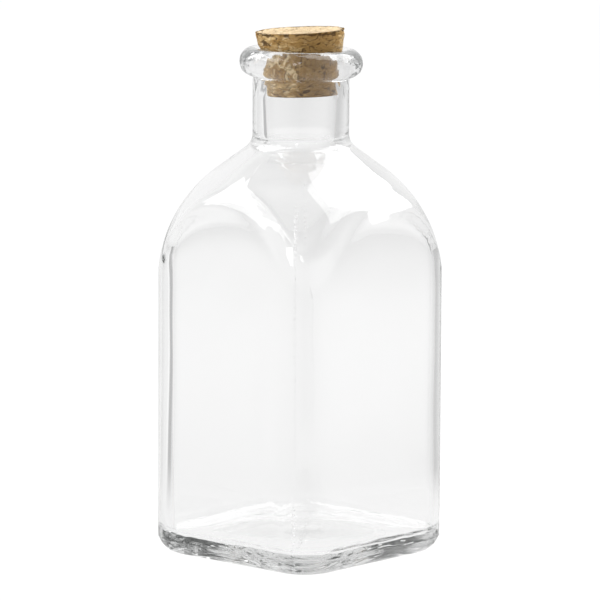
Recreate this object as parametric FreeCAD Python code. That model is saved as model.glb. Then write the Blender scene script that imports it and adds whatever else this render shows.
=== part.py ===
import FreeCAD, Part
import math
import os
from FreeCAD import Vector

# Square glass bottle with a tapered cork
# Lengths are in millimetres and angles in degrees. The bottle stands on z = 0, its axis is Z,
# and its four flat faces look along +X, -X, +Y and -Y.

# Body: a square with rounded corners, standing on a rounded heel
body_width = 61.0
corner_radius = 12.5
heel_radius = 5.8

# Shoulder: part of a ball just wider than the corners, then a cone up to the neck
shoulder_slope = 36.5
neck_base = 111.0
dome_margin = 0.2
arch_blend = 6.0

# Neck and its rolled lip; the neck's length runs from its foot to the rim
neck_diameter = 25.8
neck_length = 25.1
neck_fillet = 4.5
lip_diameter = 33.3
lip_depth = 8.3
lip_slope = 35.0
lip_top_round = 3.8
lip_under_round = 3.4

# Inside: walls, floor, bore and mouth; a flat band runs between the floor's rounding and its mound
side_wall = 2.6
shoulder_wall = 3.5
floor_level = 6.4
floor_round = 4.8
floor_mound = 1.5
floor_band = 3.1
mound_crown = 18.0
inner_arch_blend = 5.0
bore_diameter = 20.9
bore_taper = 3.3
bore_blend = 4.0
mouth_round = 2.3

# Base: the middle is pushed up, and the bottle stands on the flat band inside its heel
push_up = 1.3
bearing_band = 3.7
push_up_crown = 18.0

# Cork: a straight cone, wider than the mouth by its squeeze, pushed in a little askew and nipped
# by the bore
cork_squeeze = 0.62
cork_taper = 8.8
cork_height = 16.7
cork_stand = 4.8
cork_lean = 2.9
cork_lean_heading = 195.1
cork_clearance = 0.15
cork_spread = 60.0

# Heights and radii that follow from the sizes above
slope = math.radians(shoulder_slope)
taper = math.radians(bore_taper)
narrowing = math.radians(cork_taper)
spread = math.radians(cork_spread)
neck_radius = neck_diameter / 2
lip_radius = lip_diameter / 2
bore_radius = bore_diameter / 2
rim_height = neck_base + neck_length
lip_foot = rim_height - lip_depth
lip_edge = lip_foot + (lip_radius - neck_radius) * math.tan(math.radians(lip_slope))
mouth_foot = rim_height - mouth_round
cork_top = rim_height + cork_stand
cork_foot = cork_top - cork_height

# Working values: how far a cutting form runs past the glass, what counts as the same place
# when edges are picked out, and the shortest line or arc that an outline holds
spare = 5.0
near = 0.01
tiny = 1e-6


def corner_reach(width, radius):
    """Distance from the axis to the outside of a rounded corner, measured on the diagonal."""
    return (width / 2 - radius) * math.sqrt(2) + radius


def cone_height(radius, wall):
    """Height of the shoulder's cone at a radius, sunk below the outside by a wall."""
    return neck_base - (radius - neck_radius) * math.tan(slope) - wall / math.cos(slope)


def bore_at(height):
    """Radius of the bore at a height; it is widest at the rim and narrows downwards."""
    return bore_radius - (rim_height - height) * math.tan(taper)


def meeting(point, way, other, other_way):
    """The (radius, height) where two lines cross, each given by a point and a direction."""
    across = way[0] * other_way[1] - way[1] * other_way[0]
    apart = (other[0] - point[0], other[1] - point[1])
    steps = (apart[0] * other_way[1] - apart[1] * other_way[0]) / across
    return (point[0] + way[0] * steps, point[1] + way[1] * steps)


def rounded_outline(corners):
    """Closed face in the XZ plane from (radius, height, rounding) corners."""
    points = [Vector(radius, 0, height) for radius, height, rounding in corners]
    bends = []
    for k, here in enumerate(points):
        back = (points[k - 1] - here).normalize()
        onward = (points[(k + 1) % len(points)] - here).normalize()
        half = back.getAngle(onward) / 2
        rounding = corners[k][2]
        reach = rounding / math.tan(half)
        middle = (back + onward).normalize() * (rounding / math.sin(half) - rounding)
        bends.append((here + back * reach, here + middle, here + onward * reach))
    edges = []
    for k, (start, middle, end) in enumerate(bends):
        following = bends[(k + 1) % len(bends)][0]
        if start.distanceToPoint(end) > tiny:
            edges.append(Part.Arc(start, middle, end).toShape())
        if end.distanceToPoint(following) > tiny:
            edges.append(Part.LineSegment(end, following).toShape())
    return Part.Face(Part.Wire(edges))


def turned(corners):
    """Solid of revolution about Z from an outline's corners."""
    return rounded_outline(corners).revolve(Vector(0, 0, 0), Vector(0, 0, 1), 360)


def square_column(width, radius, bottom, top):
    """Upright prism on a square with rounded corners."""
    column = Part.makeBox(width, width, top - bottom, Vector(-width / 2, -width / 2, bottom))
    uprights = [edge for edge in column.Edges if edge.BoundBox.ZLength > (top - bottom) / 2]
    return column.makeFillet(radius, uprights)


def side_distance(point, width, radius):
    """Distance of a point from the side of a rounded square column, less than 0 inside it."""
    across = abs(point.x) - (width / 2 - radius)
    along = abs(point.y) - (width / 2 - radius)
    outside = math.hypot(max(across, 0), max(along, 0))
    return outside + min(max(across, along), 0) - radius


def side_edges(solid, width, radius, low, high):
    """Edges on the side of a rounded square column that stay between two heights."""
    found = []
    for edge in solid.Edges:
        between = edge.BoundBox.ZMin > low and edge.BoundBox.ZMax < high
        if between and all(abs(side_distance(p, width, radius)) < near for p in edge.discretize(5)):
            found.append(edge)
    return found


def squared(dome, width, radius, arch, foot, foot_round):
    """A turned solid cut by four flat sides, with its arches and its bottom edge rounded."""
    column = square_column(width, radius, foot - spare, rim_height + 2 * spare)
    solid = dome.common(column).removeSplitter()
    bottom = side_edges(solid, width, radius, foot - near, foot + near)
    solid = solid.makeFillet(foot_round, bottom)
    arches = side_edges(solid, width, radius, foot + foot_round + near, rim_height)
    return solid.makeFillet(arch, arches)


def make_outside():
    """The bottle's outer form, solid all through."""
    dome_foot = corner_reach(body_width, corner_radius) + dome_margin
    dome = turned([
        (0, push_up, 0),
        (push_up_crown / 2, push_up, 0),
        (body_width / 2 - heel_radius - bearing_band, 0, 0),
        (dome_foot, 0, 0),
        (dome_foot, cone_height(dome_foot, 0), dome_foot),
        (neck_radius, neck_base, neck_fillet),
        (neck_radius, lip_foot, 0),
        (lip_radius, lip_edge, lip_under_round),
        (lip_radius, rim_height, lip_top_round),
        (0, rim_height, 0),
    ])
    return squared(dome, body_width, corner_radius, arch_blend, 0.0, heel_radius)


def make_inside():
    """The space inside the bottle, from the floor out through the mouth."""
    width = body_width - 2 * side_wall
    radius = corner_radius - side_wall
    dome_foot = corner_reach(width, radius) + dome_margin
    mouth_reach = mouth_round / math.tan(math.pi / 4 + taper / 2)
    bore_foot = meeting((bore_radius, rim_height), (math.sin(taper), math.cos(taper)),
                        (0, cone_height(0, shoulder_wall)), (math.cos(slope), -math.sin(slope)))
    dome = turned([
        (0, floor_level + floor_mound, 0),
        (mound_crown / 2, floor_level + floor_mound, 0),
        (width / 2 - floor_round - floor_band, floor_level, 0),
        (dome_foot, floor_level, 0),
        (dome_foot, cone_height(dome_foot, shoulder_wall), dome_foot),
        (*bore_foot, bore_blend),
        (bore_radius, rim_height, mouth_round),
        (bore_radius + mouth_reach, rim_height, 0),
        (bore_radius + mouth_reach, rim_height + spare, 0),
        (0, rim_height + spare, 0),
    ])
    return squared(dome, width, radius, inner_arch_blend, floor_level, floor_round)


def make_bottle():
    """One piece of moulded glass."""
    return make_outside().cut(make_inside())


def cork_at(height):
    """Radius of the free cork at a height, from its squeeze where the mouth's rounding ends."""
    return bore_at(mouth_foot) + cork_squeeze + (height - mouth_foot) * math.tan(narrowing)


def make_cork():
    """A straight cone of cork, leaned a little and nipped to the bore's own shape."""
    cone = turned([
        (0, cork_foot, 0),
        (cork_at(cork_foot), cork_foot, 0),
        (cork_at(cork_top), cork_top, 0),
        (0, cork_top, 0),
    ])
    heading = math.radians(cork_lean_heading)
    hinge = Vector(-math.sin(heading), math.cos(heading), 0)
    cone.rotate(Vector(0, 0, mouth_foot), hinge, cork_lean)
    inset = cork_clearance / math.cos(taper)
    low = (bore_at(cork_foot - spare) - inset, cork_foot - spare)
    reach = mouth_round + cork_clearance
    touch = (bore_at(mouth_foot) + mouth_round / math.cos(taper) - reach * math.sin(spread),
             mouth_foot + reach * math.cos(spread))
    flare = (math.cos(spread), math.sin(spread))
    high = (touch[0] + cork_height * flare[0], touch[1] + cork_height * flare[1])
    nip = turned([
        (0, low[1], 0),
        (*low, 0),
        (*meeting(low, (math.sin(taper), math.cos(taper)), touch, flare), 0),
        (*high, 0),
        (0, high[1], 0),
    ])
    return cone.common(nip)


os.makedirs("parts", exist_ok=True)
for name, solid in (("bottle", make_bottle()), ("cork", make_cork())):
    solid.exportStep("parts/" + name + ".step")
    print(name, "valid", solid.isValid(), "solids", len(solid.Solids), "faces", len(solid.Faces),
          "volume in cubic centimetres", round(solid.Volume / 1000, 2))
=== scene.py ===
import math

import bpy
import numpy as np
from mathutils import Matrix


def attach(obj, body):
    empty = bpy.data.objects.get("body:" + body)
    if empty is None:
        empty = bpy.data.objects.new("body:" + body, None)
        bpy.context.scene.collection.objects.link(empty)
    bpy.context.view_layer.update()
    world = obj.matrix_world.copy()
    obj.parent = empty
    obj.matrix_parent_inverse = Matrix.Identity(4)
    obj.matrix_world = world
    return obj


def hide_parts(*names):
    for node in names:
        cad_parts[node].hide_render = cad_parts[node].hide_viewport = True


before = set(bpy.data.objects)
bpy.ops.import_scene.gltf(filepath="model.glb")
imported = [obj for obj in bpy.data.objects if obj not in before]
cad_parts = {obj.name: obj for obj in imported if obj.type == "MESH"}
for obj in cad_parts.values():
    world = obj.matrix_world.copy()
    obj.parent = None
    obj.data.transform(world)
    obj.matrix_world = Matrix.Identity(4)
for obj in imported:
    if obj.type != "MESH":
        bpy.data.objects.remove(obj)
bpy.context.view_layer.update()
scene = bpy.context.scene

# Where the photograph was taken from
# The camera looks down at the bottle a little, from in front of one of its rounded corners.
# Its place and lens were fitted to the bottle's corners, base and rim.
view_azimuth = math.radians(41.73)
view_pitch = math.radians(8.97)
view_roll = math.radians(0.28)
view_distance = 1.4362
view_height = 0.29497

lens = bpy.data.cameras.new("photograph")
lens.lens = 325.7
lens.sensor_width = 36.0
lens.clip_start = 0.05
lens.clip_end = 50.0
camera = bpy.data.objects.new("photograph", lens)
camera.matrix_world = (
    Matrix.Rotation(view_azimuth, 4, "Z")
    @ Matrix.Translation((0, -view_distance, view_height))
    @ Matrix.Rotation(math.pi / 2 - view_pitch, 4, "X")
    @ Matrix.Rotation(view_roll, 4, "Z")
)
scene.collection.objects.link(camera)
scene.camera = camera


# The bottle
# One piece of clear soda glass, blown in a square mould: a rounded square body, a domed shoulder
# that its flat sides cut in arches, a round neck and a lip rolled over while the glass was hot.
# The mould makes the outside. The inside is free, so the wall is thicker on one side.
mm = 0.001  # the shapes are worked out in millimetres
columns = 240

# Outside, from the base up
push_up = 1.3
push_up_crown = 8.0
push_up_edge = 20.0
soft_bend = 46.0
heel_start = 22.5
heel_round = 5.8
body_half = 30.5
body_corner = 12.5
arch_round = 6.0
ball_margin = 0.2
shoulder_slope = math.radians(36.5)
neck_radius = 12.9
neck_base = 111.0
neck_fillet = 4.5
lip_radius = 16.4
lip_foot = 128.3
lip_foot_round = 0.4
lip_slope = math.radians(24.0)
lip_under_round = 3.4
lip_top_round = 3.6
lip_tilt_side = math.radians(1.0)
lip_tilt_back = math.radians(0.2)
rim_height = 136.1

# Inside, from the floor up
floor_level = 5.5
floor_mound = 1.5
mound_crown = 8.0
mound_edge = 20.5
floor_start = 23.5
floor_round = 2.6
side_wall = 2.78
side_shift = 0.825
inner_arch_round = 18.0
inner_ball_margin = 2.2
shoulder_wall = 3.5
bore_blend = 4.0
bore_radius = 10.45
bore_taper = math.radians(3.3)
mouth_start = 122.0
mouth_round = 2.3

# Marks of the mould
seam_angle = math.radians(-50.4)
seam_width = 0.22
line_height = 4.3
line_width = 0.22
line_rise = 0.12


def round_corners(corners, spacing, turn):
    """Points on a line through (radius, height, rounding) corners, as an array.

    Each corner between two runs is replaced by the arc of its rounding that touches both runs.
    Arc points are at most turn apart in angle, and points on a run at most spacing apart.
    """
    at = np.array([corner[:2] for corner in corners], float)
    points = [at[:1]]
    for k in range(1, len(at) - 1):
        back = at[k - 1] - at[k]
        back /= np.linalg.norm(back)
        on = at[k + 1] - at[k]
        on /= np.linalg.norm(on)
        half = math.acos(np.clip(back @ on, -1, 1)) / 2
        rounding = max(corners[k][2], 1e-3)
        start = at[k] + back * rounding / math.tan(half)
        centre = at[k] + (back + on) / np.linalg.norm(back + on) * rounding / math.sin(half)
        sweep = math.pi - 2 * half
        steps = max(2, math.ceil(sweep / turn))
        side = np.sign(back[0] * on[1] - back[1] * on[0])
        angle = np.linspace(0, -side * sweep, steps + 1)[:, None]
        arm = start - centre
        across = np.array([-arm[1], arm[0]])
        arc = centre + np.cos(angle) * arm + np.sin(angle) * across
        run = np.linalg.norm(start - points[-1][-1])
        count = max(1, math.ceil(run / spacing))
        between = np.linspace(0, 1, count + 1)[1:-1, None]
        points.append(points[-1][-1] + between * (start - points[-1][-1]))
        points.append(arc)
    run = np.linalg.norm(at[-1] - points[-1][-1])
    count = max(1, math.ceil(run / spacing))
    between = np.linspace(0, 1, count + 1)[1:, None]
    points.append(points[-1][-1] + between * (at[-1] - points[-1][-1]))
    return np.concatenate(points)


def square_radius(angle, half, corner):
    """Distance from the axis to a rounded square in the direction of an angle.

    On a flat it is half / cos(angle). On a corner it is the far crossing with the corner's circle.
    """
    a = np.maximum(np.abs(np.cos(angle)), np.abs(np.sin(angle)))
    b = np.minimum(np.abs(np.cos(angle)), np.abs(np.sin(angle)))
    m = half - corner
    inside = np.maximum(corner**2 - m**2 * (2 - (a + b) ** 2), 0)
    return np.where(half * b / a <= m, half / a, m * (a + b) + np.sqrt(inside))


def soft_least(one, other, reach):
    """The smaller of two values, rounded off where they are within reach of each other.

    A sixth of the reach is taken away where they are equal, and nothing a whole reach apart.
    """
    near = np.maximum(reach - np.abs(one - other), 0) / reach
    return np.minimum(one, other) - near**3 * reach / 6


def ease(low, high, x):
    """0 below low, 1 above high, and a smooth S between."""
    t = np.clip((x - low) / (high - low), 0, 1)
    return t * t * (3 - 2 * t)


def corner_reach(half, corner):
    """Distance from the axis to a rounded corner's outside, on the diagonal."""
    return (half - corner) * math.sqrt(2) + corner


def cone_height(radius, wall):
    """Height of the shoulder's cone at a radius, sunk below the outside by a wall."""
    fall = (radius - neck_radius) * math.tan(shoulder_slope)
    return neck_base - fall - wall / math.cos(shoulder_slope)


def bore_point(height):
    """The bore's (radius, height) at a height; it narrows downwards from the rim."""
    return (bore_radius - (rim_height - height) * math.tan(bore_taper), height)


def squared_rows(line, half, corner, edge, foot, foot_round, foot_rows, arch, circles):
    """Radii and heights of a turned form cut by a rounded square column, one row per point.

    line is the turned form's outline, which leaves the foot's flat at the radius circles. Up to
    there the rows are circles, and from there to the column's foot they change into rounded
    squares. In the foot's rounding the square is inset by the quarter circle. Above it the
    radius is the smaller of the outline's and the column's, rounded off by arch.
    """
    level = edge[None, :] * 0
    side = square_radius(edge, half, corner)[None, :]
    foot_edge = square_radius(edge, half - foot_round, corner - foot_round)[None, :]
    centre = line[line[:, 0] <= circles + 1e-6]
    centre = centre[centre[:, 1] < foot + 5]
    share = np.linspace(0, 1, 9)[1:, None]
    band_radius = circles + share * (foot_edge - circles)
    bend = np.linspace(0, math.pi / 2, foot_rows + 1)[1:, None]
    inset = foot_round * (1 - np.sin(bend))
    bend_radius = square_radius(edge[None, :], half - inset, corner - inset)
    bend_height = foot + foot_round * (1 - np.cos(bend)) + level
    above = line[line[:, 1] > foot + foot_round + 1e-6]
    lean = np.arccos(np.clip(side / line[:, 0].max(), 0, 1))
    reach = 6 * arch * (1 / np.cos(lean / 2) - 1) + 1e-4
    rise = soft_least(above[:, :1] + level, side, reach)
    radii = np.concatenate([centre[:, :1] + level, band_radius, bend_radius, rise])
    heights = np.concatenate([
        centre[:, 1:] + level, foot + 0 * band_radius, bend_height, above[:, 1:] + level])
    return radii, heights


def around_axis(radii, angle, heights):
    """Points at radii, angles and heights about the axis."""
    return np.stack([radii * np.cos(angle), radii * np.sin(angle), heights], axis=-1)


def run_up(points):
    """Length along each column of a grid of points, from its first row."""
    steps = np.diff(points, axis=0, prepend=points[:1])
    return np.cumsum(np.linalg.norm(steps, axis=-1), axis=0)


def dents(row, angle, count, seed):
    """Smooth random heights, mostly within -1..1, on rows of so many random numbers round the axis.

    Between four neighbouring numbers the height goes over by smooth steps, and it joins up at the
    full turn.
    """
    numbers = np.random.default_rng(seed).uniform(-1.4, 1.4, (400, count))
    place = np.broadcast_to(angle / (2 * math.pi) % 1 * count, row.shape)
    down, left = np.floor(row).astype(int) % 400, np.floor(place).astype(int) % count
    up, right = (down + 1) % 400, (left + 1) % count
    rise, aside = ease(0, 1, row % 1), ease(0, 1, place % 1)
    low = numbers[down, left] * (1 - aside) + numbers[down, right] * aside
    high = numbers[up, left] * (1 - aside) + numbers[up, right] * aside
    return low * (1 - rise) + high * rise


def pushed_out(points, relief):
    """A grid of points, rows upwards by columns around, moved along its own outward directions."""
    across = np.roll(points, -1, axis=1) - np.roll(points, 1, axis=1)
    along = np.gradient(points, axis=0)
    normal = np.cross(across, along)
    normal = normal / np.maximum(np.linalg.norm(normal, axis=-1), 1e-9)[..., None]
    return points + normal * relief[..., None]


def crooked(points, hold):
    """Points of the neck with the tilt that its hand-made lip has, by a share from 0 to 1.

    Heights sink by a slope to the photograph's right, and by a smaller one to its back.
    """
    side = points[..., 0] * math.cos(view_azimuth) + points[..., 1] * math.sin(view_azimuth)
    back = points[..., 1] * math.cos(view_azimuth) - points[..., 0] * math.sin(view_azimuth)
    points = points.copy()
    points[..., 2] -= hold * (side * math.tan(lip_tilt_side) + back * math.tan(lip_tilt_back))
    return points


def grid_mesh(name, points):
    """A closed mesh from a grid of points, rows by columns, that runs round in columns.

    The first and last rows are single points, the two poles. Each pole is joined to its next
    row by triangles, and every other pair of rows by four-sided faces.
    """
    rows, count = points.shape[:2]
    inner = points[1:-1].reshape(-1, 3)
    verts = np.concatenate([points[:1, 0], inner, points[-1:, 0]])
    row = 1 + np.arange(rows - 2)[:, None] * count
    here = row + np.arange(count)[None, :]
    onward = row + (np.arange(count)[None, :] + 1) % count
    quads = np.stack([here[:-1], onward[:-1], onward[1:], here[1:]], axis=-1).reshape(-1, 4)
    last = len(verts) - 1
    first_fan = np.stack([np.zeros(count, int), onward[0], here[0]], axis=-1)
    last_fan = np.stack([np.full(count, last), here[-1], onward[-1]], axis=-1)
    mesh = bpy.data.meshes.new(name)
    mesh.from_pydata(verts.tolist(), [], first_fan.tolist() + quads.tolist() + last_fan.tolist())
    mesh.shade_smooth()
    mesh.update()
    return mesh


# Angles of the columns: closer together at the corners, and closest on the two seams
share = np.arange(columns) / columns * 2 * math.pi
around = share + 0.12 * np.sin(4 * share)
around = np.where(around > math.pi, around - 2 * math.pi, around)
seam_columns = seam_angle + np.linspace(-0.02, 0.02, 13)
clear_of_seams = np.abs((around - seam_angle + math.pi / 2) % math.pi - math.pi / 2) > 0.021
around = np.sort(np.concatenate([around[clear_of_seams], seam_columns, seam_columns + math.pi]))

# The outside: a turned form that the square mould cuts
outer_ball = corner_reach(body_half, body_corner) + ball_margin
lip_edge = lip_foot + (lip_radius - neck_radius) * math.tan(lip_slope)
outer_line = round_corners([
    (0, push_up, 0),
    (push_up_crown, push_up, soft_bend),
    (push_up_edge, 0, soft_bend),
    (outer_ball, 0, 0),
    (outer_ball, cone_height(outer_ball, 0), outer_ball),
    (neck_radius, neck_base, neck_fillet),
    (neck_radius, lip_foot, lip_foot_round),
    (lip_radius, lip_edge, lip_under_round),
    (lip_radius, rim_height, lip_top_round),
    (bore_radius + mouth_round, rim_height, 0),
], spacing=4.0, turn=math.radians(3.2))
outer_radii, outer_heights = squared_rows(
    outer_line, body_half, body_corner, around, foot=0.0, foot_round=heel_round, foot_rows=72,
    arch=arch_round, circles=heel_start)

# The inside: the bore's foot is where its line crosses the line of the shoulder's inner cone
inner_half = body_half - side_wall
inner_corner = body_corner - side_wall
inner_ball = corner_reach(inner_half, inner_corner) + inner_ball_margin
cone_top = cone_height(0, shoulder_wall)
up_bore = (math.sin(bore_taper), math.cos(bore_taper))
down_cone = (math.cos(shoulder_slope), -math.sin(shoulder_slope))
apart = up_bore[0] * down_cone[1] - up_bore[1] * down_cone[0]
steps = ((0 - bore_radius) * down_cone[1] - (cone_top - rim_height) * down_cone[0]) / apart
bore_foot = (bore_radius + up_bore[0] * steps, rim_height + up_bore[1] * steps)
inner_line = round_corners([
    (0, floor_level + floor_mound, 0),
    (mound_crown, floor_level + floor_mound, soft_bend),
    (mound_edge, floor_level, soft_bend),
    (inner_ball, floor_level, 0),
    (inner_ball, cone_height(inner_ball, shoulder_wall), inner_ball),
    (*bore_foot, bore_blend),
    (*bore_point(mouth_start), 0),
], spacing=4.0, turn=math.radians(3.6))
mouth_line = round_corners([
    (*bore_point(mouth_start), 0),
    (bore_radius, rim_height, mouth_round),
    (bore_radius + mouth_round, rim_height, 0),
], spacing=0.5, turn=math.radians(5.0))
inner_line = np.concatenate([inner_line, mouth_line[1:]])
inner_radii, inner_heights = squared_rows(
    inner_line, inner_half, inner_corner, around, foot=floor_level, foot_round=floor_round,
    foot_rows=16, arch=inner_arch_round, circles=floor_start)

# Marks of the mould: streaks along the heel, a raised line above it, and the seam up two corners
outside = around_axis(outer_radii, around, outer_heights)
run = run_up(outside)
heel = ease(0.4, 1.2, outer_heights) * (1 - ease(6.0, 9.0, outer_heights))
heel = heel * ease(23, 26, outer_radii)
relief = heel * (0.036 * dents(run / 0.36, around, 16, 1) + 0.060 * dents(run / 0.7, around, 34, 2))
off_line = (outer_heights - line_height) / line_width
relief += line_rise * np.exp(-off_line ** 2 / 2) * (outer_radii > 25)
off_seam = outer_radii * np.sin(around - seam_angle) / seam_width
up_seam = ease(1.0, 3.0, outer_heights) * (1 - ease(95, 104, outer_heights))
seam_rise = 0.08 + 0.05 * dents(outer_heights / 1.6, around, 8, 3)
relief += up_seam * seam_rise * np.exp(-off_seam ** 2 / 2)

# The rolled lip was shaped by hand: slight waves all over it, and a tilt of the whole mouth
lip = ease(lip_foot - 1, lip_foot + 0.5, outer_heights)
relief += lip * (0.045 * dents(run / 1.3, around, 40, 4) + 0.020 * dents(run / 0.6, around, 90, 5))
outside = crooked(pushed_out(outside, relief), ease(113, 126, outer_heights))

# The free inside: moved a little to one side and waved by hardly a tenth of a millimetre, with
# small waves in the mouth and round the floor
shift = side_shift * (1 - ease(70, 112, inner_heights))
wave = (np.sin(2 * around + 0.7 + inner_heights / 17)
        + 0.7 * np.sin(5 * around - 1.1 - inner_heights / 9)
        + 0.5 * np.sin(3 * around + 2.0 + inner_heights / 5.2))
wave *= 0.07 * (1 - ease(100, 112, inner_heights)) * ease(8, 14, inner_radii)
inside = around_axis(inner_radii - np.abs(wave), around, inner_heights)
inside[..., 0] += shift * math.cos(view_azimuth)
inside[..., 1] += shift * math.sin(view_azimuth)
run = run_up(inside)
relief = ease(122.5, 125.0, inner_heights) * (
    0.040 * dents(run / 1.1, around, 34, 6) + 0.025 * dents(run / 0.6, around, 60, 7))
floor_edge = (1 - ease(7, 10, inner_heights)) * ease(20, 24, inner_radii)
relief += 0.035 * floor_edge * dents(run / 0.9, around, 30, 8)
inside = crooked(pushed_out(inside, relief), ease(113, 126, inner_heights))[::-1]

skin = np.concatenate([outside, inside[1:]]) * mm
bottle = bpy.data.objects.new("bottle_glass", grid_mesh("bottle_glass", skin))
scene.collection.objects.link(bottle)


def maths(nodes, links, operation, one, other=0.0):
    """A maths node; each input is a socket or a number."""
    node = nodes.new("ShaderNodeMath")
    node.operation = operation
    for socket, value in zip(node.inputs, (one, other)):
        if isinstance(value, bpy.types.NodeSocket):
            links.new(value, socket)
        else:
            socket.default_value = value
    return node.outputs[0]


def mapped(nodes, links, value, low, high, to_low=0.0, to_high=1.0):
    """A node that carries values from low..high to another range in a smooth S, and stops there."""
    node = nodes.new("ShaderNodeMapRange")
    node.interpolation_type = "SMOOTHSTEP"
    node.inputs["From Min"].default_value = low
    node.inputs["From Max"].default_value = high
    node.inputs["To Min"].default_value = to_low
    node.inputs["To Max"].default_value = to_high
    links.new(value, node.inputs["Value"])
    return node.outputs["Result"]


def noise(nodes, links, place, scale, detail):
    """A noise node at so many waves per metre."""
    node = nodes.new("ShaderNodeTexNoise")
    node.inputs["Scale"].default_value = scale
    node.inputs["Detail"].default_value = detail
    links.new(place, node.inputs["Vector"])
    return node.outputs["Fac"]


clear_glass = bpy.data.materials.new("clear_glass")
clear_glass.use_nodes = True
nodes, links = clear_glass.node_tree.nodes, clear_glass.node_tree.links
surface = nodes["Principled BSDF"]
surface.inputs["Base Color"].default_value = (1, 1, 1, 1)
surface.inputs["Roughness"].default_value = 0.0
surface.inputs["IOR"].default_value = 1.5
surface.inputs["Transmission Weight"].default_value = 1.0
tint = nodes.new("ShaderNodeVolumeAbsorption")
tint.inputs["Color"].default_value = (0.5, 0.51, 0.505, 1)
tint.inputs["Density"].default_value = 10.0
links.new(tint.outputs["Volume"], nodes["Material Output"].inputs["Volume"])

# The seam is rough: uneven along its length, so that its highlight is broken into dashes
from_seam = nodes.new("ShaderNodeMapping")
from_seam.inputs["Rotation"].default_value = (0, 0, -seam_angle)
links.new(nodes.new("ShaderNodeTexCoord").outputs["Object"], from_seam.inputs["Vector"])
spot = nodes.new("ShaderNodeSeparateXYZ")
links.new(from_seam.outputs[0], spot.inputs[0])
beside = maths(nodes, links, "ABSOLUTE", spot.outputs["Y"])
on_seam = mapped(nodes, links, beside, 0.00005, 0.0005, 1.0, 0.0)
on_body = mapped(nodes, links, spot.outputs["Z"], 0.092, 0.102, 1.0, 0.0)
grit = mapped(nodes, links, noise(nodes, links, from_seam.outputs[0], 900, 1), 0.35, 0.65)
rough_seam = maths(nodes, links, "MULTIPLY", maths(nodes, links, "MULTIPLY", on_seam, on_body), grit)
bump = nodes.new("ShaderNodeBump")
bump.inputs["Strength"].default_value = 1.0
bump.inputs["Distance"].default_value = 0.00007
links.new(rough_seam, bump.inputs["Height"])
links.new(bump.outputs[0], surface.inputs["Normal"])

# Lamp light goes through the glass, so that the cork in the neck is lit
lit_through = nodes.new("ShaderNodeMixShader")
links.new(nodes.new("ShaderNodeLightPath").outputs["Is Shadow Ray"], lit_through.inputs[0])
links.new(surface.outputs[0], lit_through.inputs[1])
links.new(nodes.new("ShaderNodeBsdfTransparent").outputs[0], lit_through.inputs[2])
links.new(lit_through.outputs[0], nodes["Material Output"].inputs["Surface"])
bottle.data.materials.append(clear_glass)
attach(bottle, "bottle")
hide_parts("bottle")


# The cork
# A stopper pressed from cork granules with a binder and turned to a taper. Granules have broken
# out of its skin and edges, and their outlines show as dark cracks. It was pushed into the mouth
# by hand, a little askew, and the bore nips its lower part.
cork_height = 17.1
cork_stand = 4.8
cork_taper = math.radians(8.8)
cork_squeeze = 0.62
cork_lean = math.radians(2.9)
cork_lean_heading = math.radians(195.1)
cork_gap = 0.15
cork_spread = math.radians(60.0)
cork_columns = 288
# The side of the cork that is painted darker as shade, and how wide that painted shade spreads
shade_side_angle = math.radians(-22)
shade_side_width = 0.55
cork_top = rim_height + cork_stand
cork_foot = cork_top - cork_height
mouth_foot = rim_height - mouth_round


def grains(points, size, seed):
    """How near points lie to the border between two grains, and a number for the grain they are in.

    Space is cut into boxes of a size, each with one seed at a place scattered from the box's own
    numbers. A point's grain is that of its nearest seed. The border's nearness is the distance to
    the second nearest seed less the distance to the nearest.
    """
    scaled = points / np.array(size)
    box = np.floor(scaled)
    nearest = np.full(points.shape[:-1], 9.0)
    second = nearest.copy()
    number = nearest * 0
    steps = np.stack(np.meshgrid([-1, 0, 1], [-1, 0, 1], [-1, 0, 1]), axis=-1).reshape(-1, 3)
    for step in steps:
        other = box + step
        code = other @ np.array([127.1, 311.7, 74.7]) + seed
        places = np.stack([np.sin(code + 1.3 * k) * 43758.5453 % 1 for k in range(4)], axis=-1)
        away = np.linalg.norm(other + places[..., :3] - scaled, axis=-1)
        closer = away < nearest
        second = np.where(closer, nearest, np.minimum(second, away))
        nearest = np.where(closer, away, nearest)
        number = np.where(closer, places[..., 3], number)
    return second - nearest, number


def cork_radius(height):
    """Radius of the free cork at a height, from its squeeze where the mouth's rounding ends."""
    bore = bore_radius - mouth_round * math.tan(bore_taper)
    return bore + cork_squeeze + (height - mouth_foot) * math.tan(cork_taper)


def nip_radius(height):
    """Room in the glass at a height: the bore less the gap, and above it a flare off the mouth."""
    gap = cork_gap / math.cos(bore_taper)
    bore = bore_radius - (rim_height - height) * math.tan(bore_taper) - gap
    reach = mouth_round + cork_gap
    round_centre = (bore_radius - mouth_round * math.tan(bore_taper)
                    + mouth_round / math.cos(bore_taper))
    touch_radius = round_centre - reach * math.sin(cork_spread)
    touch_height = mouth_foot + reach * math.cos(cork_spread)
    return np.maximum(bore, touch_radius + (height - touch_height) / math.tan(cork_spread))


# A grid over the foot, the side and the top
cork_around = np.arange(cork_columns) / cork_columns * 2 * math.pi
flat = cork_around[None, :] * 0
disc = np.linspace(0, 1, 44)[:-1, None]
side = np.linspace(0, 1, 84)[:, None]
radii = np.concatenate([
    disc * cork_radius(cork_foot),
    cork_radius(cork_foot + side * cork_height),
    disc[::-1] * cork_radius(cork_top),
])
heights = np.concatenate([
    disc * 0 + cork_foot, cork_foot + side * cork_height, disc * 0 + cork_top])
sideways = np.concatenate([disc * 0, side * 0 + 1, disc * 0]) + flat
upward = np.concatenate([disc * 0 - 1, side * 0, disc * 0 + 1])
cream = np.concatenate([disc * 0, side * 0, disc * 0 + 1]) + flat
skin = around_axis(radii, cork_around, heights + flat)
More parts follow.
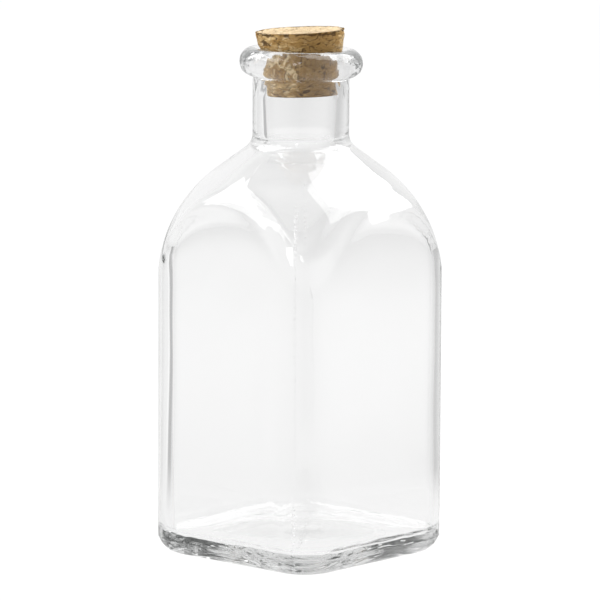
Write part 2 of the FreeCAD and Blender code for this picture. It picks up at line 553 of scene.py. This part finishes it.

# Cracks between the granules, granules that stand lower than others, pits where one is gone, and
# a worn top edge whose dark line is painted shade. One side, turned away from the left lamps, is
# painted darker: painted shade
swirl = skin + 0.5 * np.sin(skin[..., [1, 2, 0]] * 1.7 + [0.4, 1.9, 3.1]) * [1, 1, 0.8]
border, grain = grains(swirl, size=(3.0, 3.0, 1.15), seed=3.0)
small_border, small_grain = grains(swirl, size=(1.5, 1.5, 0.5), seed=11.0)
pit_border, pit_number = grains(swirl, size=(1.9, 1.9, 0.9), seed=29.0)
pits = ease(0.91, 0.94, pit_number) * ease(0.05, 0.4, pit_border)
cracks = (1 - ease(0.0, 0.13, border)) * ease(0.1, 0.6, small_grain)
small_cracks = (1 - ease(0.0, 0.10, small_border)) * ease(0.45, 0.9, grain)
cracks = np.maximum(cracks, 0.75 * small_cracks)
below_edge = (cork_top - 0.3 - skin[..., 2]) / (0.3 + 0.5 * small_grain)
# The worn top edge is sunk in, and it is also painted dark along its line: real wear, with painted shade
# in its dark line
worn_edge_and_shade = sideways * np.exp(-below_edge ** 2) * ease(0.1, 0.7, small_grain)
# Painted shade: a darker side, turned away from the left lamps
from_shade_side = np.angle(np.exp(1j * (cork_around - shade_side_angle)))
painted_shade = np.exp(-(from_shade_side / shade_side_width) ** 2) + 0 * radii
depth = 0.12 * cracks + 0.14 * grain + 0.10 * small_grain + 0.35 * pits + 0.5 * worn_edge_and_shade
depth = np.where(radii < 1.0, 0.1, depth)
inward = np.stack([
    -sideways * np.cos(cork_around), -sideways * np.sin(cork_around), -upward + flat], axis=-1)
skin = skin + inward * depth[..., None]

# Leaned about the foot of the mouth's rounding, then nipped by the bore and by the tilted mouth
hinge = (-math.sin(cork_lean_heading), math.cos(cork_lean_heading), 0)
lean = Matrix.Rotation(cork_lean, 3, hinge)
skin = (skin - [0, 0, mouth_foot]) @ np.array(lean).T + [0, 0, mouth_foot]
from_axis = np.hypot(skin[..., 0], skin[..., 1])
room = nip_radius(skin[..., 2]) - 0.3 * depth
skin[..., :2] *= np.minimum(1, room / np.maximum(from_axis, 1e-6))[..., None]
skin = crooked(skin, 1 - ease(135.8, 138.5, skin[..., 2]))
cork = bpy.data.objects.new("cork_stopper", grid_mesh("cork_stopper", skin * mm))
scene.collection.objects.link(cork)

# What the material reads at each point of the skin; the grain values are dimmed on the side with the
# painted shade
for name, values in (
    ("grain", grain * (1 - 0.75 * painted_shade)),
    ("small_grain", small_grain * (1 - 0.5 * painted_shade)),
    ("crack_and_edge_shade", np.maximum(np.maximum(cracks, pits), worn_edge_and_shade)),
    ("cream", cream),
    ("painted_shade", painted_shade),
):
    layer = cork.data.attributes.new(name, "FLOAT", "POINT")
    in_order = np.concatenate([values[:1, 0], values[1:-1].ravel(), values[-1:, 0]])
    layer.data.foreach_set("value", in_order.astype(np.float32))


def attribute(nodes, name):
    """A node that reads one of the mesh's own values."""
    node = nodes.new("ShaderNodeAttribute")
    node.attribute_name = name
    return node.outputs["Fac"]


def blend(nodes, links, factor, one, other):
    """A node that mixes two colours by a factor; each input is a socket or a constant."""
    node = nodes.new("ShaderNodeMix")
    node.data_type = "RGBA"
    for socket, value in ((node.inputs[0], factor), (node.inputs[6], one), (node.inputs[7], other)):
        if isinstance(value, bpy.types.NodeSocket):
            links.new(value, socket)
        else:
            socket.default_value = value
    return node.outputs[2]


dark_granule = (0.36, 0.21, 0.07, 1)
light_granule = (0.84, 0.62, 0.31, 1)
dark_patch = (0.40, 0.235, 0.075, 1)
pale_granule = (0.92, 0.76, 0.48, 1)
speck_brown = (0.24, 0.13, 0.04, 1)
# the dark brown of the painted shade on one side
shade_brown = (0.22, 0.13, 0.04, 1)
cream_top = (0.86, 0.74, 0.54, 1)
crack_and_shade_brown = (0.10, 0.055, 0.02, 1)

pressed_cork = bpy.data.materials.new("pressed_cork")
pressed_cork.use_nodes = True
nodes, links = pressed_cork.node_tree.nodes, pressed_cork.node_tree.links
surface = nodes["Principled BSDF"]
surface.inputs["Roughness"].default_value = 0.88
surface.inputs["Specular IOR Level"].default_value = 0.25
streaks = nodes.new("ShaderNodeMapping")
streaks.inputs["Scale"].default_value = (0.8, 0.8, 3.2)
links.new(nodes.new("ShaderNodeTexCoord").outputs["Object"], streaks.inputs["Vector"])
patches = mapped(nodes, links, noise(nodes, links, streaks.outputs[0], 330, 4), 0.36, 0.64)
fine = mapped(nodes, links, noise(nodes, links, streaks.outputs[0], 1100, 3), 0.32, 0.68)
body = blend(nodes, links, attribute(nodes, "grain"), dark_granule, light_granule)
body = blend(nodes, links, patches, dark_patch, body)
pale = mapped(nodes, links, attribute(nodes, "small_grain"), 0.5, 0.95, 0.0, 0.8)
body = blend(nodes, links, pale, body, pale_granule)
specks = mapped(nodes, links, fine, 0.0, 1.0, 0.55, 0.0)
body = blend(nodes, links, specks, body, speck_brown)
# Painted shade: the side away from the left lamps is mixed towards dark brown
in_painted_shade = mapped(nodes, links, attribute(nodes, "painted_shade"), 0.0, 1.0, 0.0, 0.45)
body = blend(nodes, links, in_painted_shade, body, shade_brown)
on_top = mapped(nodes, links, attribute(nodes, "cream"), 0.0, 1.0, 0.0, 0.42)
body = blend(nodes, links, on_top, body, cream_top)
# Cracks and pits are painted dark, and so is the worn top edge, where the dark is painted shade
dark_cracks_and_edge_shade = mapped(nodes, links, attribute(nodes, "crack_and_edge_shade"), 0.2, 0.9, 0.0, 0.85)
body = blend(nodes, links, dark_cracks_and_edge_shade, body, crack_and_shade_brown)
links.new(body, surface.inputs["Base Color"])
bump = nodes.new("ShaderNodeBump")
bump.inputs["Strength"].default_value = 0.5
bump.inputs["Distance"].default_value = 0.00012
links.new(fine, bump.inputs["Height"])
links.new(bump.outputs[0], surface.inputs["Normal"])
cork.data.materials.append(pressed_cork)
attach(cork, "cork")
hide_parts("cork")


# The floor
# A big sheet of white paper. The camera sees it plain white, apart from the bottle's faint shadow.
# For the glass the paper glows with painted light: a painted pool of light round the bottle that
# falls off outwards, painted shade close round the bottle's foot, and painted darker gaps to the
# sides, which draw the edges of the glass.
floor_radius = 1.5
turn = np.arange(96) / 96 * 2 * math.pi
floor_mesh = bpy.data.meshes.new("floor")
floor_mesh.from_pydata(around_axis(floor_radius, turn, turn * 0).tolist(), [], [list(range(96))])
floor = bpy.data.objects.new("floor", floor_mesh)
scene.collection.objects.link(floor)


def between(nodes, links, share, low, high):
    """A node that goes from one number or socket to another by a share from 0 to 1."""
    node = nodes.new("ShaderNodeMix")
    for socket, value in ((node.inputs[0], share), (node.inputs[2], low), (node.inputs[3], high)):
        if isinstance(value, bpy.types.NodeSocket):
            links.new(value, socket)
        else:
            socket.default_value = value
    return node.outputs[0]


def ramp(nodes, links, value, stops):
    """A node that reads a curve through (value, height) stops, with smooth joins.

    Heights run from 0 to 2, and the curve node holds half of them.
    """
    low, high = stops[0][0], stops[-1][0]
    share = maths(nodes, links, "DIVIDE", maths(nodes, links, "SUBTRACT", value, low), high - low)
    node = nodes.new("ShaderNodeFloatCurve")
    links.new(share, node.inputs["Value"])
    curve = node.mapping.curves[0]
    while len(curve.points) < len(stops):
        curve.points.new(0.5, 0.5)
    for point, (at, level) in zip(curve.points, stops):
        point.location = ((at - low) / (high - low), level / 2)
    node.mapping.update()
    return maths(nodes, links, "MULTIPLY", node.outputs["Value"], 2.0)


def bearing_from_view(nodes, links, x, y):
    """Degrees from the photograph's line of sight to a direction, from -180 to 180, left positive.

    The angle from Y is turned by the view's azimuth, and brought back within a half turn by the
    arctangent of its sine and cosine.
    """
    angle = maths(nodes, links, "ADD", maths(nodes, links, "ARCTAN2", x, y), view_azimuth)
    sine = maths(nodes, links, "SINE", angle)
    cosine = maths(nodes, links, "COSINE", angle)
    return maths(nodes, links, "MULTIPLY", maths(nodes, links, "ARCTAN2", sine, cosine), -180 / math.pi)


white_paper = bpy.data.materials.new("white_paper")
white_paper.use_nodes = True
nodes, links = white_paper.node_tree.nodes, white_paper.node_tree.links
surface = nodes["Principled BSDF"]
surface.inputs["Base Color"].default_value = (0.85, 0.85, 0.85, 1)
surface.inputs["Roughness"].default_value = 0.9
spot = nodes.new("ShaderNodeSeparateXYZ")
links.new(nodes.new("ShaderNodeNewGeometry").outputs["Position"], spot.inputs[0])
across = maths(nodes, links, "MULTIPLY", spot.outputs["X"], spot.outputs["X"])
along = maths(nodes, links, "MULTIPLY", spot.outputs["Y"], spot.outputs["Y"])
away = maths(nodes, links, "SQRT", maths(nodes, links, "ADD", across, along))
# Painted light: a pool that falls off outwards, with painted shade close round the bottle's foot
painted_light_pool = ramp(nodes, links, away, [
    (0, 0.92), (0.05, 0.91), (0.1, 0.90), (0.15, 0.92), (0.22, 0.94), (0.42, 0.94), (0.62, 0.86),
    (0.85, 0.83), (1.5, 0.83)])
# Painted shade: darker gaps by bearing round the bottle
painted_gaps = ramp(nodes, links, bearing_from_view(nodes, links, spot.outputs["X"], spot.outputs["Y"]), [
    (-180, 0.42), (-165, 0.55), (-150, 0.66), (-135, 0.76), (-120, 0.86), (-100, 0.94),
    (-85, 0.94), (-72, 0.84), (-60, 0.62), (-50, 0.60), (-38, 0.68), (-28, 0.78), (-16, 0.92),
    (-7, 0.98), (0, 1.0), (12, 0.98), (24, 0.95), (40, 0.94), (48, 1.04), (53, 0.45), (61, 0.45),
    (67, 0.80), (75, 0.88), (88, 1.04), (102, 1.04), (118, 0.92), (135, 0.78), (150, 0.67),
    (165, 0.55), (180, 0.42)])
painted_gaps = between(nodes, links, mapped(nodes, links, away, 0.08, 0.16), 1.0, painted_gaps)
rays = nodes.new("ShaderNodeLightPath").outputs
# The paper's glow holds this painted light for the glass, and is plain white for the camera
lit = maths(nodes, links, "MULTIPLY", painted_light_pool, painted_gaps)
white = nodes.new("ShaderNodeEmission")
links.new(between(nodes, links, rays["Is Camera Ray"], lit, 1.03), white.inputs["Strength"])
seen = maths(nodes, links, "MAXIMUM", rays["Is Camera Ray"], rays["Is Transmission Ray"])
seen = maths(nodes, links, "MAXIMUM", seen, rays["Is Glossy Ray"])
shown = nodes.new("ShaderNodeMixShader")
links.new(maths(nodes, links, "MULTIPLY", seen, 0.92), shown.inputs[0])
links.new(surface.outputs[0], shown.inputs[1])
links.new(white.outputs[0], shown.inputs[2])
links.new(shown.outputs[0], nodes["Material Output"].inputs["Surface"])
floor_mesh.materials.append(white_paper)


# The white room and its lamps
# The camera sees plain white. The glass sees pale walls, a little darker on the right, and a dim
# front of the room and ceiling, from where the camera looks. Big soft boxes hang on both sides,
# and their mirror images are the highlights on the shoulder.
room = bpy.data.worlds.new("white_room")
scene.world = room
room.use_nodes = True
nodes, links = room.node_tree.nodes, room.node_tree.links
aim = nodes.new("ShaderNodeSeparateXYZ")
links.new(nodes.new("ShaderNodeTexCoord").outputs["Generated"], aim.inputs[0])
bearing = bearing_from_view(nodes, links, aim.outputs["X"], aim.outputs["Y"])
rise = maths(nodes, links, "MULTIPLY", maths(nodes, links, "ARCSINE", aim.outputs["Z"]), 180 / math.pi)
walls = ramp(nodes, links, bearing, [
    (-180, 0.45), (-150, 0.60), (-120, 0.80), (-90, 0.90), (-60, 0.84), (-40, 0.82), (-22, 0.84),
    (-10, 0.92), (0, 0.95), (12, 0.97), (30, 0.96), (60, 0.92), (90, 0.95), (120, 0.84),
    (150, 0.60), (180, 0.45)])
upwards = ramp(nodes, links, rise, [
    (-90, 0.92), (-6, 0.90), (-1, 0.93), (4, 1.01), (12, 1.01), (25, 0.98), (45, 0.84),
    (65, 0.62), (90, 0.55)])
seen = nodes.new("ShaderNodeLightPath").outputs["Is Camera Ray"]
lit = maths(nodes, links, "MULTIPLY", walls, upwards)
nodes["Background"].inputs["Color"].default_value = (1, 1, 1, 1)
links.new(between(nodes, links, seen, lit, 1.0), nodes["Background"].inputs["Strength"])


def soft_lamp(name, bearing, elevation, distance, width, height, radiance):
    """A flat soft lamp that faces the bottle's middle and that the camera doesn't see.

    bearing is measured from the camera's line of sight, to the left, and elevation from the
    floor, both in degrees. Lengths are in metres. Its power is its radiance times pi times its
    area.
    """
    lamp = bpy.data.lights.new(name, "AREA")
    lamp.shape = "RECTANGLE"
    lamp.size = width
    lamp.size_y = height
    lamp.energy = radiance * math.pi * width * height
    stand = bpy.data.objects.new(name, lamp)
    stand.matrix_world = (
        Matrix.Translation((0, 0, 0.08))
        @ Matrix.Rotation(view_azimuth + math.radians(bearing), 4, "Z")
        @ Matrix.Rotation(math.radians(elevation), 4, "X")
        @ Matrix.Translation((0, distance, 0))
        @ Matrix.Rotation(math.pi / 2, 4, "X")
        @ Matrix.Rotation(math.pi, 4, "Y")
    )
    scene.collection.objects.link(stand)
    stand.visible_camera = False


soft_lamp("lamp_right", bearing=-57, elevation=54, distance=1.2, width=1.15, height=1.25, radiance=3.0)
soft_lamp("lamp_left", bearing=92, elevation=46, distance=1.2, width=1.35, height=0.6, radiance=3.2)
soft_lamp("lamp_left_end", bearing=140, elevation=51, distance=1.2, width=0.4, height=0.14, radiance=3.2)
soft_lamp("lamp_front", bearing=170, elevation=28, distance=1.6, width=0.16, height=0.45, radiance=5.0)

# Light turns round many times inside the thick glass of the base and the lip
scene.cycles.max_bounces = 128
scene.cycles.transmission_bounces = 64
scene.cycles.glossy_bounces = 96
scene.view_settings.view_transform = "Standard"
